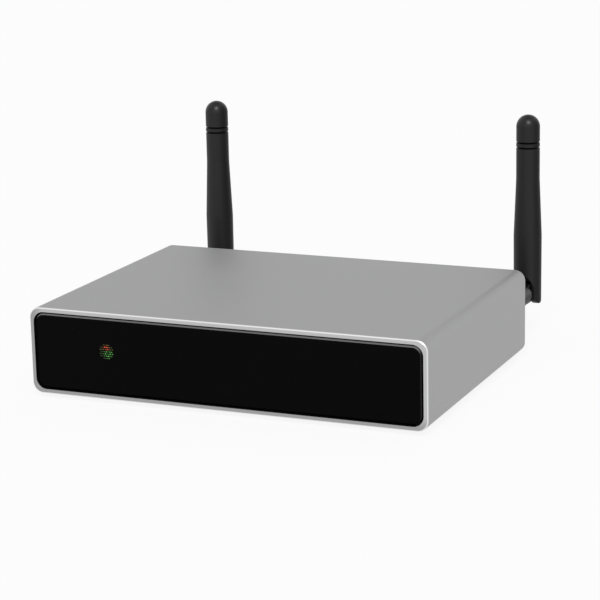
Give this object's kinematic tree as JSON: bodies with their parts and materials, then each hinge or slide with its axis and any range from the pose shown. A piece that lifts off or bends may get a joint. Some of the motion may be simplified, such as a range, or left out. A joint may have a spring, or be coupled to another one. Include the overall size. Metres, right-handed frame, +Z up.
{
  "type": "network music streamer",
  "caption": "Slim aluminium box with a black front panel, status lights, rear audio and network sockets and folding antennas that swivel and tilt.",
  "frame": {"origin": "middle of the whole object's footprint, antennas included, on the surface it stands on", "axes": "+Z up, +Y towards the sockets at the rear, +X to the right seen from the front"},
  "size_m": [0.174, 0.1692, 0.1002],
  "materials": {
    "satin_aluminium": "satin anodised, fine bead blast",
    "rear_aluminium": "satin anodised plate",
    "black_acrylic": "polished gloss black",
    "black_moulding": "fine texture black",
    "shutter_black": "semi-gloss black",
    "antenna_black": "satin black",
    "foot_rubber": "matt black",
    "red_lamp": "clear red",
    "green_lamp": "clear green",
    "network_lamp": "clear amber",
    "white_diode": "white",
    "white_insert": "gloss white",
    "red_insert": "gloss red",
    "optical_red": "clear dark red",
    "circuit_green": "solder mask",
    "capacitor_sleeve": "shrink sleeve",
    "cable_cream": "flat cable",
    "lead_black": "coaxial lead",
    "zinc_steel": "zinc plated",
    "black_steel": "black oxide",
    "nickel": "bright nickel plate",
    "gold_plate": "gold plated brass",
    "sink_aluminium": "natural"
  },
  "bodies": {
    "case": {"antenna_leads": "lead_black", "antenna_socket_nuts": "gold_plate", "antenna_socket_washers": "gold_plate", "board_chips": "black_moulding", "capacitors": "capacitor_sleeve", "enclosure_sleeve": "satin_aluminium", "front_cable": "cable_cream", "front_cable_sockets": "cable_cream", "front_carrier": "black_moulding", "front_panel": "black_acrylic", "front_screws": "zinc_steel", "green_light_guide": "green_lamp", "heat_sink": "sink_aluminium", "indicator_board": "circuit_green", "indicator_board_screws": "zinc_steel", "infrared_receiver": "black_moulding", "left_antenna_socket": "gold_plate", "left_coupling_nut": "gold_plate", "line_in_barrels": "nickel", "line_in_housing": "black_moulding", "line_out_barrels": "nickel", "line_out_housing": "black_moulding", "main_board": "circuit_green", "network_contacts": "gold_plate", "network_lights": "network_lamp", "network_socket": "black_moulding", "optical_in_socket": "black_moulding", "optical_lenses": "optical_red", "optical_out_socket": "black_moulding", "pairing_switch": "black_moulding", "phono_screws": "black_steel", "power_inlet": "black_moulding", "power_inlet_pin": "nickel", "processor": "black_moulding", "rear_panel": "rear_aluminium", "rear_screws": "black_steel", "red_light_guide": "red_lamp", "red_phono_inserts": "red_insert", "right_antenna_socket": "gold_plate", "right_coupling_nut": "gold_plate", "rubber_feet": "foot_rubber", "status_diodes": "white_diode", "usb_contacts": "gold_plate", "usb_shell": "zinc_steel", "usb_tongue": "white_diode", "white_phono_inserts": "white_insert", "wireless_board": "circuit_green", "wireless_shield": "zinc_steel"},
    "left_swivel": {"left_swivel": "antenna_black"},
    "left_antenna": {"left_whip": "antenna_black", "left_hinge_pin": "zinc_steel", "left_radiator": "gold_plate"},
    "right_swivel": {"right_swivel": "antenna_black"},
    "right_antenna": {"right_whip": "antenna_black", "right_hinge_pin": "zinc_steel", "right_radiator": "gold_plate"},
    "optical_in_shutter": {"optical_in_shutter": "shutter_black"},
    "optical_out_shutter": {"optical_out_shutter": "shutter_black"},
    "pairing_button": {"pairing_button": "shutter_black"}
  },
  "joints": [
    {"name": "left_antenna_swivel", "type": "hinge", "parent": "case", "child": "left_swivel", "pos_m": [-0.07625, 0.0536, 0.02025], "axis": [0, 1, 0], "continuous": true},
    {"name": "left_antenna_tilt", "type": "hinge", "parent": "left_swivel", "child": "left_antenna", "pos_m": [-0.07625, 0.0783, 0.02025], "axis": [-1, 0, 0], "range_deg": [0, 90]},
    {"name": "right_antenna_swivel", "type": "hinge", "parent": "case", "child": "right_swivel", "pos_m": [0.07625, 0.0536, 0.02025], "axis": [0, 1, 0], "continuous": true},
    {"name": "right_antenna_tilt", "type": "hinge", "parent": "right_swivel", "child": "right_antenna", "pos_m": [0.07625, 0.0783, 0.02025], "axis": [-1, 0, 0], "range_deg": [0, 90]},
    {"name": "optical_in_shutter_swing", "type": "hinge", "parent": "case", "child": "optical_in_shutter", "pos_m": [0.01048, 0.0394, 0.0168], "axis": [-1, 0, 0], "range_deg": [0, 80], "stiffness_Nm_per_rad": 0.0002, "springref_deg": -17.19},
    {"name": "optical_out_shutter_swing", "type": "hinge", "parent": "case", "child": "optical_out_shutter", "pos_m": [0.02645, 0.0394, 0.0168], "axis": [-1, 0, 0], "range_deg": [0, 80], "stiffness_Nm_per_rad": 0.0002, "springref_deg": -17.19},
    {"name": "pairing_button_press", "type": "slide", "parent": "case", "child": "pairing_button", "axis": [0, -1, 0], "range_m": [0, 0.0005], "stiffness_N_per_m": 600, "springref_m": -0.0005}
  ]
}
